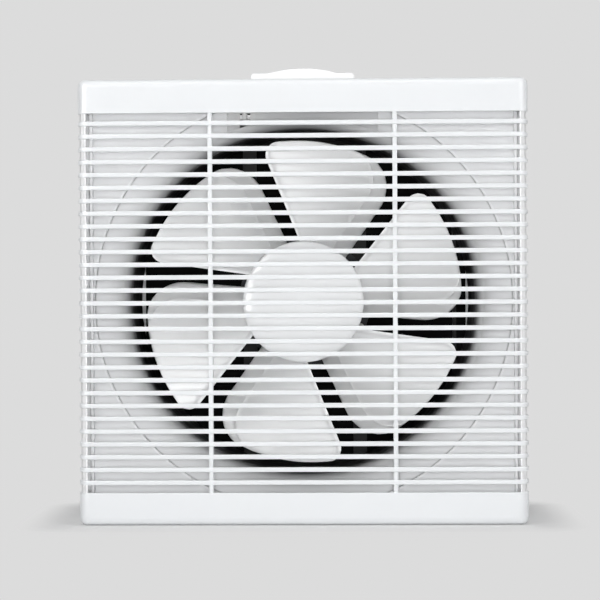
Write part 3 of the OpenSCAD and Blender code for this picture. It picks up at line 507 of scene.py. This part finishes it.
def extruded(name, outline, z_low, z_high, finish):
    """A closed (x, y) outline drawn upwards."""
    bm = bmesh.new()
    low = [bm.verts.new((x, y, z_low)) for x, y in outline]
    high = [bm.verts.new((x, y, z_high)) for x, y in outline]
    bm.faces.new(low)
    bm.faces.new(list(reversed(high)))
    join_loops(bm, low, high)
    bmesh.ops.recalc_face_normals(bm, faces=bm.faces)
    return add_object(name, mesh_from(bm, name), finish)


def turned(name, profile, finish, closed=True):
    """A (radius, y) profile turned about the fan axis."""
    bm = bmesh.new()
    rings = []
    for r, y in profile:
        if r < WELD:
            rings.append([bm.verts.new((0, y, 0))])
            continue
        turns = [2 * math.pi * k / TURN_STEPS for k in range(TURN_STEPS)]
        rings.append([bm.verts.new((r * math.cos(t), y, r * math.sin(t))) for t in turns])
    pairs = list(zip(rings, rings[1:]))
    if closed:
        pairs.append((rings[-1], rings[0]))
    for a, b in pairs:
        if len(a) == 1 and len(b) == 1:
            continue
        for k in range(TURN_STEPS):
            n = (k + 1) % TURN_STEPS
            corners = [a[k % len(a)], b[k % len(b)], b[n % len(b)], a[n % len(a)]]
            bm.faces.new(list(dict.fromkeys(corners)))
    bmesh.ops.recalc_face_normals(bm, faces=bm.faces)
    return add_object(name, mesh_from(bm, name), finish)


def arc(cx, cy, r, start, end, steps):
    """Points of an arc, angles in degrees."""
    turns = [math.radians(start + (end - start) * k / steps) for k in range(steps + 1)]
    return [(cx + r * math.cos(t), cy + r * math.sin(t)) for t in turns]


# ---- Geometry Nodes: rounded bars along a path, repeated ----


def add_input(tree, name, kind, value=None):
    socket = tree.interface.new_socket(name=name, in_out="INPUT", socket_type=kind)
    if value is not None:
        socket.default_value = value


def bars_tree():
    """Sweeps a rounded bar along the object's edges and repeats it by a step.

    Depth is across the path in the level plane, and Height is upright. On an upright path, Depth is
    the bar's width from left to right, and Height is its depth.
    """
    tree = bpy.data.node_groups.new("rounded bars", "GeometryNodeTree")
    add_input(tree, "Path", "NodeSocketGeometry")
    add_input(tree, "Depth", "NodeSocketFloat", SLAT_DEPTH)
    add_input(tree, "Height", "NodeSocketFloat", SLAT_HEIGHT)
    add_input(tree, "Rounding", "NodeSocketFloat", SLAT_ROUND)
    add_input(tree, "Count", "NodeSocketInt", 1)
    add_input(tree, "Step", "NodeSocketVector", (0.0, 0.0, SLAT_PITCH))
    add_input(tree, "Material", "NodeSocketMaterial")
    tree.interface.new_socket(name="Bars", in_out="OUTPUT", socket_type="NodeSocketGeometry")

    def node(kind):
        return tree.nodes.new(kind)

    def link(out, into):
        tree.links.new(out, into)

    given = node("NodeGroupInput")
    path = node("GeometryNodeMeshToCurve")
    upright = node("GeometryNodeSetCurveNormal")
    upright.mode = "Z_UP"
    section = node("GeometryNodeCurvePrimitiveQuadrilateral")
    rounded = node("GeometryNodeFilletCurve")
    rounded.mode = "POLY"
    rounded.inputs["Count"].default_value = SLAT_ROUND_STEPS
    sweep = node("GeometryNodeCurveToMesh")
    sweep.inputs["Fill Caps"].default_value = True
    places = node("GeometryNodeMeshLine")
    copies = node("GeometryNodeInstanceOnPoints")
    real = node("GeometryNodeRealizeInstances")
    shade = node("GeometryNodeSetShadeSmooth")
    paint = node("GeometryNodeSetMaterial")
    result = node("NodeGroupOutput")

    link(given.outputs["Path"], path.inputs["Mesh"])
    link(path.outputs["Curve"], upright.inputs["Curve"])
    link(given.outputs["Depth"], section.inputs["Width"])
    link(given.outputs["Height"], section.inputs["Height"])
    link(section.outputs["Curve"], rounded.inputs["Curve"])
    link(given.outputs["Rounding"], rounded.inputs["Radius"])
    link(upright.outputs["Curve"], sweep.inputs["Curve"])
    link(rounded.outputs["Curve"], sweep.inputs["Profile Curve"])
    link(given.outputs["Count"], places.inputs["Count"])
    link(given.outputs["Step"], places.inputs["Offset"])
    link(places.outputs["Mesh"], copies.inputs["Points"])
    link(sweep.outputs["Mesh"], copies.inputs["Instance"])
    link(copies.outputs["Instances"], real.inputs["Geometry"])
    link(real.outputs["Geometry"], shade.inputs["Geometry"])
    link(shade.outputs["Geometry"], paint.inputs["Geometry"])
    link(given.outputs["Material"], paint.inputs["Material"])
    link(paint.outputs["Geometry"], result.inputs["Bars"])
    return tree


BARS = bars_tree()


def path_mesh(name, points):
    """Points joined in a row by edges."""
    bm = bmesh.new()
    verts = [bm.verts.new(point) for point in points]
    for a, b in zip(verts, verts[1:]):
        bm.edges.new((a, b))
    return mesh_from(bm, name)


def grown(name, tree, base_mesh, finish, **values):
    """Runs a node tree on a base mesh and keeps the result as a plain mesh."""
    obj = add_object(name, base_mesh)
    grow = obj.modifiers.new(tree.name, "NODES")
    grow.node_group = tree
    sockets = {item.name: item.identifier for item in tree.interface.items_tree if item.in_out == "INPUT"}
    for key, value in values.items():
        grow[sockets[key]] = value
    grow[sockets["Material"]] = finish.material
    settle(obj)
    weigh_normals(obj)
    return settle(obj)


# ---- Cover ----


def slat_path():
    """Centre line of a slat: back along one side, round the corner, across, and back again."""
    inset = SLAT_DEPTH / 2
    side_x = COVER_HALF - inset
    corner = SIDE_ROUND - inset
    centre_x = COVER_HALF - SIDE_ROUND
    centre_y = COVER_FRONT + SIDE_ROUND
    left = [(-side_x, COVER_BACK)] + arc(-centre_x, centre_y, corner, 180, 270, SLAT_TURN_STEPS)
    right = arc(centre_x, centre_y, corner, 270, 360, SLAT_TURN_STEPS) + [(side_x, COVER_BACK)]
    return [(x, y, FIRST_SLAT_Z) for x, y in left + right]


def make_slats():
    slats = grown(
        "slats", BARS, path_mesh("slat_path", slat_path()), COVER_WHITE,
        Depth=SLAT_DEPTH, Height=SLAT_FACE, Rounding=SLAT_ROUND, Count=SLAT_COUNT, Step=(0, 0, SLAT_PITCH),
    )
    put(slats, "cover", "cover_plastic", "grille_front_bars", "grille_side_left", "grille_side_right")


def make_ribs():
    y = COVER_FRONT + RIB_SET_BACK + RIB_DEPTH / 2
    ends = [(-RIB_X, y, OPEN_BOTTOM - BAND_LAP), (-RIB_X, y, OPEN_TOP + BAND_LAP)]
    ribs = grown(
        "ribs", BARS, path_mesh("rib_path", ends), COVER_WHITE,
        Depth=RIB_WIDTH, Height=RIB_DEPTH, Rounding=SLAT_ROUND, Count=2, Step=(2 * RIB_X, 0, 0),
    )
    put(ribs, "cover", "cover_plastic")


def post_outline():
    """Section of a side post, which follows the cover's rounded corner inside the slats."""
    centre_x = COVER_HALF - SIDE_ROUND
    centre_y = COVER_FRONT + SIDE_ROUND
    outer = SIDE_ROUND - POST_INSET
    inner = outer - POST_WALL
    front = COVER_FRONT + SLAT_DEPTH
    start = -math.degrees(math.asin((centre_y - front) / outer))
    return (
        [(centre_x + POST_EDGE, front)]
        + arc(centre_x, centre_y, outer, start, 0, POST_TURN_STEPS)
        + [(centre_x + outer, COVER_BACK), (centre_x + inner, COVER_BACK)]
        + [(centre_x + inner, centre_y), (centre_x + POST_EDGE, centre_y - inner)]
    )


def make_posts():
    for name, side in (("post_left", -1), ("post_right", 1)):
        outline = [(side * x, y) for x, y in post_outline()]
        post = extruded(name, outline, OPEN_BOTTOM - BAND_LAP, OPEN_TOP + BAND_LAP, POST_WHITE)
        round_edges(post, width=0.5 * MM)
        put(settle(post), "cover", "cover_plastic")


def cover_ring(turn):
    """Outline of the cover on its rounded front edge.

    The turn is 0 at the side wall and a quarter turn at the front face.
    """
    drawn = 1 - math.cos(turn)
    half_x = COVER_HALF - SIDE_ROUND * drawn
    half_z = COVER_TOP - EDGE_ROUND * drawn
    corner = CORNER_ROUND * (1 - CORNER_SHARPENED * drawn)
    points = []
    for quarter, (side_x, side_z) in enumerate(((1, 1), (-1, 1), (-1, -1), (1, -1))):
        for k in range(CORNER_STEPS + 1):
            a = math.radians(90 * quarter + 90 * k / CORNER_STEPS)
            depth = SIDE_ROUND * math.cos(a) ** 2 + EDGE_ROUND * math.sin(a) ** 2
            points.append((
                side_x * (half_x - corner) + corner * math.cos(a),
                COVER_FRONT + depth * (1 - math.sin(turn)),
                side_z * (half_z - corner) + corner * math.sin(a),
            ))
    return points


def make_bands():
    """The cover's shell, cut off at each end of its opening."""
    rings = [[(x, COVER_BACK, z) for x, _, z in cover_ring(0)]]
    rings += [cover_ring(math.pi / 2 * k / EDGE_STEPS) for k in range(EDGE_STEPS + 1)]
    for name, node, cut, is_top in (
        ("top_band", "grille_top_band", OPEN_TOP, True),
        ("bottom_band", "grille_bottom_band", OPEN_BOTTOM, False),
    ):
        bm = bmesh.new()
        loops = [[bm.verts.new(point) for point in ring] for ring in rings]
        for loop, further in zip(loops, loops[1:]):
            join_loops(bm, loop, further)
        bm.faces.new(loops[-1])
        bmesh.ops.recalc_face_normals(bm, faces=bm.faces)
        bmesh.ops.bisect_plane(
            bm, geom=bm.verts[:] + bm.edges[:] + bm.faces[:], plane_co=(0, 0, cut), plane_no=(0, 0, 1),
            clear_inner=is_top, clear_outer=not is_top,
        )
        band = add_object(name, mesh_from(bm, name), COVER_WHITE)
        wall = band.modifiers.new("wall", "SOLIDIFY")
        wall.thickness = COVER_WALL
        wall.offset = -1
        round_edges(band, width=0.4 * MM, angle=60)
        put(settle(band), "cover", "cover_plastic", node)


# ---- Housing ----


def make_mouth():
    mouth = softened("bell_mouth", "mouth", MOUTH_WHITE, width=0.15 * MM)
    put(mouth, "housing", "panel_plastic", "bell_mouth")


def paint_rear(piece, finish):
    """Gives the faces towards the wall, and the flanks near them, a finish of their own."""
    piece.data.materials.append(finish.material)
    for face in piece.data.polygons:
        looks_back = face.normal.y > FLANK_LEAN
        is_rear_flank = abs(face.normal.y) < FLANK_LEAN and face.center.y > PANEL_REAR_FROM
        if looks_back or is_rear_flank:
            face.material_index = 1


def make_housing():
    for node, name, finish, width, slot in (
        ("frame_panel", "panel", FRAME_WHITE, 0.3 * MM, "panel_plastic"),
        ("wiring_cover", "raised_box", BOX_WHITE_PAINTED_LIGHT, 0.6 * MM, "cover_plastic"),
        ("duct_tube", "duct", DUCT_BLACK, 0.2 * MM, "duct_steel"),
        ("wall_sleeve", "sleeve", PANEL_WHITE, 0.3 * MM, "panel_plastic"),
        ("shutter_frame", "shutter_surround", SURROUND_WHITE, 0.3 * MM, "panel_plastic"),
        ("motor_front_shell", "front_shell", MOTOR_PAINT, 0.5 * MM, "motor_shell"),
        ("motor_rear_shell", "rear_shell", MOTOR_PAINT, 0.5 * MM, "motor_shell"),
        ("motor_strap_left", "strap_left", STRAP_PAINT, 0.4 * MM, "strap_steel"),
        ("motor_strap_right", "strap_right", STRAP_PAINT, 0.4 * MM, "strap_steel"),
    ):
        piece = softened(node, name, finish, width)
        if finish is FRAME_WHITE:
            paint_rear(piece, PANEL_WHITE)
        put(piece, "housing", slot, node)


# ---- Impeller ----


def corner_draw(r, corner):
    """How far a rounded tip corner has drawn in at radius r, as an angle."""
    past = r - TIP_R + corner
    if past <= 0:
        return 0.0
    return (corner - math.sqrt(max(0.0, corner * corner - past * past))) / r


def trail_angle(r):
    return corner_draw(r, TRAIL_CORNER) - math.asin(TRAIL_OFFSET / r)


def lead_angle(r):
    return BLADE_STEP - LEAD_BACK - math.asin(LEAD_OFFSET / r) - corner_draw(r, LEAD_CORNER)


def over_round_edge():
    """Distances from a blade's edge, over half its thickness, closest together at the edge."""
    half = BLADE_WALL / 2
    return [half * (1 - math.cos(math.pi / 2 * k / ROUND_STEPS)) for k in range(ROUND_STEPS + 1)]


def between(first, last, steps):
    """Evenly spaced values between two others, without them."""
    return [first + (last - first) * k / steps for k in range(1, steps)]


def blade_radii():
    """Radii of a blade's rows: the root, an even stretch, and close rows at the rounded tip."""
    edge = over_round_edge()
    reach = (TIP_R - BLADE_ROOT) * SPAN_SHARE
    even = between(edge[-1], reach, SPAN_STEPS) + [reach]
    return [BLADE_ROOT] + [TIP_R - d for d in reversed(edge + even)]


def blade_columns(width):
    """Distances from the trailing edge, with close steps at both edges, the ridge and the lip."""
    edge = over_round_edge()
    lip = [LIP_WIDTH + LIP_BLEND, LIP_WIDTH - LIP_SLOPE / 2, LIP_WIDTH - LIP_SLOPE - LIP_BLEND]
    ridge = [FOLD_WIDTH + RIDGE_WIDTH * k / 2 for k in (-2, -1, 0, 1, 2)]
    fold = between(edge[-1], ridge[0], FOLD_STEPS)
    middle = between(ridge[-1], width - lip[0], MIDDLE_STEPS)
    return edge + fold + ridge + middle + [width - d for d in lip] + [width - d for d in reversed(edge)]


def blade_skin(from_trail, from_lead, from_tip):
    """Half thickness, rise of the front at the lip and the ridge, and fold of the trailing edge."""
    half = BLADE_WALL / 2
    share = min(1.0, max(0.0, min(from_trail, from_lead, from_tip) / half))
    half_here = half * math.sqrt(max(0.0, 1 - (1 - share) ** 2))
    rise = LIP_RISE * min(1.0, max(0.0, (LIP_WIDTH - from_lead) / LIP_SLOPE))
    rise += RIDGE_RISE * max(0.0, 1 - abs(from_trail - FOLD_WIDTH) / RIDGE_WIDTH)
    fold = FOLD_DROP * max(0.0, 1 - from_trail / FOLD_WIDTH) ** FOLD_POWER
    return half_here, rise, fold


def blade_grids(gap_angle):
    """Front and back grids of one blade's points."""
    front, back = [], []
    for r in blade_radii():
        low, high = trail_angle(r), lead_angle(r)
        width = (high - low) * r
        front_row, back_row = [], []
        for from_trail in blade_columns(width):
            share = from_trail / width
            bent = low + (high - low) * (share + BLADE_CAMBER * math.sin(math.pi * share))
            y = BLADE_MID_Y - BLADE_LEAD * (bent - BLADE_MID_ANGLE)
            half, rise, fold = blade_skin(from_trail, width - from_trail, TIP_R - r)
            turn = low + (high - low) * share + gap_angle
            x, z = r * math.cos(turn), r * math.sin(turn)
            front_row.append((x, y - half - rise + fold, z))
            back_row.append((x, y + half + fold, z))
        front.append(front_row)
        back.append(back_row)
    return front, back


def grid_edge(grid):
    """The points round the edge of a grid, in order."""
    return (
        grid[0] + [row[-1] for row in grid[1:]]
        + list(reversed(grid[-1][:-1])) + [row[0] for row in reversed(grid[1:-1])]
    )


def make_blades():
    bm = bmesh.new()
    for k in range(BLADE_COUNT):
        edges = []
        for side in blade_grids(FIRST_GAP_ANGLE + k * BLADE_STEP):
            grid = [[bm.verts.new(point) for point in row] for row in side]
            for row, further in zip(grid, grid[1:]):
                for j in range(len(row) - 1):
                    bm.faces.new((row[j], row[j + 1], further[j + 1], further[j]))
            edges.append(grid_edge(grid))
        join_loops(bm, *edges)
    bmesh.ops.remove_doubles(bm, verts=bm.verts, dist=2 * WELD)
    bmesh.ops.recalc_face_normals(bm, faces=bm.faces)
    blades = add_object("blades", mesh_from(bm, "blades"), BLADE_WHITE)
    shade_smooth(blades)
    put(blades, "fan", "blade_plastic", "impeller")


def make_hub():
    inside = HUB_R - HUB_WALL
    disc_back = HUB_DISC_Y + HUB_DISC_WALL
    hub = turned("hub", [
        (HUB_R, HUB_FRONT), (HUB_R, HUB_BACK), (inside, HUB_BACK), (inside, disc_back),
        (HUB_BOSS_R, disc_back), (HUB_BOSS_R, HUB_BOSS_END), (SHAFT_R, HUB_BOSS_END),
        (SHAFT_R, HUB_DISC_Y), (inside, HUB_DISC_Y), (inside, HUB_FRONT),
    ], BLADE_WHITE)
    round_edges(hub, width=0.5 * MM)
    put(settle(hub), "fan", "blade_plastic")


def dome_profile(rim, height):
    """A dome from its middle to its rim: flatter in the middle than a ball, steeper at the rim."""
    points = []
    for k in range(DOME_STEPS + 1):
        share = min(1.0, math.sin(math.pi / 2 * k / DOME_STEPS))
        points.append((rim * share, HUB_FRONT - height * (1 - share ** DOME_POWER) ** (1 / DOME_POWER)))
    return points


def make_spinner():
    outside = dome_profile(HUB_R, DOME_HEIGHT)
    inside = dome_profile(HUB_R - DOME_WALL, DOME_HEIGHT - DOME_WALL)
    spinner = turned("spinner", outside + list(reversed(inside)), SPINNER_WHITE, closed=False)
    shade_smooth(spinner)
    put(spinner, "fan", "blade_plastic", "spinner_cap")


# ---- Shutters ----


def make_shutters():
    for i in range(1, SHUTTER_COUNT + 1):
        node = f"shutter_{i}"
        put(softened(node, f"flap_{i}", SHUTTER_BLACK, width=0.2 * MM), node, "shutter_plastic", node)


# ---- Camera ----

CAMERA_DISTANCE = 1.15
CAMERA_AIM = Vector((-0.0021, -0.0403, 0.0015))
CAMERA_AZIMUTH = math.radians(1.12)
CAMERA_ELEVATION = math.radians(0.49)
CAMERA_ROLL = math.radians(-0.275)
CAMERA_LENS = 91.26
CAMERA_SENSOR = 36


def make_camera():
    data = bpy.data.cameras.new("camera")
    data.lens = CAMERA_LENS
    data.sensor_width = CAMERA_SENSOR
    camera = bpy.data.objects.new("camera", data)
    bpy.context.scene.collection.objects.link(camera)
    away = Vector((
        math.sin(CAMERA_AZIMUTH) * math.cos(CAMERA_ELEVATION),
        -math.cos(CAMERA_AZIMUTH) * math.cos(CAMERA_ELEVATION),
        math.sin(CAMERA_ELEVATION),
    ))
    turn = away.to_track_quat("Z", "Y").to_matrix().to_4x4() @ Matrix.Rotation(CAMERA_ROLL, 4, "Z")
    camera.matrix_world = Matrix.Translation(CAMERA_AIM + CAMERA_DISTANCE * away) @ turn
    bpy.context.scene.camera = camera


# ---- Room ----

BACKGROUND = (0.716, 0.716, 0.716, 1.0)
SKY_COLOUR = (0.97, 0.985, 1.0, 1.0)
SKY_LIGHT = 0.17
FLOOR_HALF = 6.0
FLOOR_BOUNCE = (0.8, 0.8, 0.8, 1.0)

# The floor shows its real shading close to the fan, and the plain background further out.
SHADOW_CENTRE_Y = 0.01
SHADOW_HALF_X = 0.18
SHADOW_HALF_Y = 0.05
SHADOW_REACH = 0.038
SHADOW_SHARE = 0.8


def seen_directly(tree):
    """One for rays that show the background: from the camera, in a reflection or through glass."""
    path = tree.nodes.new("ShaderNodeLightPath")
    seen = path.outputs["Is Camera Ray"]
    for kind in ("Is Glossy Ray", "Is Transmission Ray"):
        either = tree.nodes.new("ShaderNodeMath")
        either.operation = "MAXIMUM"
        tree.links.new(seen, either.inputs[0])
        tree.links.new(path.outputs[kind], either.inputs[1])
        seen = either.outputs["Value"]
    return seen


def coloured(tree, kind, colour):
    made = tree.nodes.new(kind)
    made.inputs["Color"].default_value = colour
    return made


def mixed(tree, share, first, second):
    """One shader, or by share another."""
    mix = tree.nodes.new("ShaderNodeMixShader")
    tree.links.new(share, mix.inputs["Fac"])
    tree.links.new(first.outputs[0], mix.inputs[1])
    tree.links.new(second.outputs[0], mix.inputs[2])
    return mix


def make_world():
    world = bpy.data.worlds.new("room")
    bpy.context.scene.world = world
    world.use_nodes = True
    tree = world.node_tree
    tree.nodes.clear()
    light = coloured(tree, "ShaderNodeBackground", SKY_COLOUR)
    light.inputs["Strength"].default_value = SKY_LIGHT
    shown = coloured(tree, "ShaderNodeBackground", BACKGROUND)
    out = tree.nodes.new("ShaderNodeOutputWorld")
    tree.links.new(mixed(tree, seen_directly(tree), light, shown).outputs["Shader"], out.inputs["Surface"])


def shading_share(tree):
    """How much of its real shading the floor shows: most of it near the fan, none further out."""
    place = tree.nodes.new("ShaderNodeTexCoord")
    beyond = place.outputs["Object"]
    for operation, value in (
        ("SUBTRACT", (0.0, SHADOW_CENTRE_Y, FLOOR_Z)), ("ABSOLUTE", None),
        ("SUBTRACT", (SHADOW_HALF_X, SHADOW_HALF_Y, 0.0)), ("MAXIMUM", (0.0, 0.0, 0.0)),
    ):
        step = tree.nodes.new("ShaderNodeVectorMath")
        step.operation = operation
        tree.links.new(beyond, step.inputs[0])
        if value is not None:
            step.inputs[1].default_value = value
        beyond = step.outputs["Vector"]
    away = tree.nodes.new("ShaderNodeVectorMath")
    away.operation = "LENGTH"
    tree.links.new(beyond, away.inputs[0])
    ease = tree.nodes.new("ShaderNodeMapRange")
    ease.interpolation_type = "SMOOTHSTEP"
    ease.inputs["From Min"].default_value = 0.0
    ease.inputs["From Max"].default_value = SHADOW_REACH
    ease.inputs["To Min"].default_value = SHADOW_SHARE
    ease.inputs["To Max"].default_value = 0.0
    tree.links.new(away.outputs["Value"], ease.inputs["Value"])
    return ease.outputs["Result"]


def floor_material():
    material = bpy.data.materials.new("floor")
    material.use_nodes = True
    tree = material.node_tree
    tree.nodes.clear()
    plain = coloured(tree, "ShaderNodeEmission", BACKGROUND)
    shaded = coloured(tree, "ShaderNodeBsdfDiffuse", BACKGROUND)
    bounce = coloured(tree, "ShaderNodeBsdfDiffuse", FLOOR_BOUNCE)
    seen = mixed(tree, shading_share(tree), plain, shaded)
    out = tree.nodes.new("ShaderNodeOutputMaterial")
    tree.links.new(mixed(tree, seen_directly(tree), bounce, seen).outputs["Shader"], out.inputs["Surface"])
    return material


def make_floor():
    bm = bmesh.new()
    corners = [(-1, -1), (1, -1), (1, 1), (-1, 1)]
    bm.faces.new([bm.verts.new((x * FLOOR_HALF, y * FLOOR_HALF, FLOOR_Z)) for x, y in corners])
    floor = add_object("floor", mesh_from(bm, "floor"))
    floor.data.materials.append(floor_material())


def soft_box(name, place, width, height, power, diffuse=True, glossy=True):
    """A rectangular lamp that faces the origin; it can be left out of the shading or the reflections."""
    data = bpy.data.lights.new(name, "AREA")
    data.shape = "RECTANGLE"
    data.size = width
    data.size_y = height
    data.energy = power
    lamp = bpy.data.objects.new(name, data)
    bpy.context.scene.collection.objects.link(lamp)
    lamp.visible_diffuse = diffuse
    lamp.visible_glossy = glossy
    place = Vector(place)
    lamp.matrix_world = Matrix.Translation(place) @ place.to_track_quat("Z", "Y").to_matrix().to_4x4()


def make_lights():
    soft_box("front_fill", (0.024, -1.25, 0.013), 0.24, 0.24, 7.2, glossy=False)
    soft_box("upper_fill", (-0.1, -1.87, 0.71), 0.4, 0.3, 4, glossy=False)
    soft_box("left_side", (-1.1, -0.5, 0.3), 0.8, 0.8, 1.3, glossy=False)
    soft_box("right_side", (1.1, -0.7, 0.3), 0.8, 0.8, 1.6, glossy=False)
    soft_box("top_box", (0.0, -0.35, 1.4), 1.4, 0.5, 10)
    soft_box("rear_left", (-1.1, 0.9, 0.5), 0.8, 0.8, 4, glossy=False)
    soft_box("rear_right", (1.1, 0.9, 0.5), 0.8, 0.8, 4, glossy=False)
    soft_box("left_card", (-0.82, -0.87, 0.42), 0.75, 1.25, 32, diffuse=False)
    soft_box("right_card", (0.89, -0.8, 0.5), 0.6, 1.0, 9, diffuse=False)


make_camera()
make_world()
make_floor()
make_lights()
make_slats()
make_ribs()
make_posts()
make_bands()
make_mouth()
make_housing()
make_blades()
make_hub()
make_spinner()
make_shutters()

view_settings = bpy.context.scene.view_settings
view_settings.view_transform = "Standard"
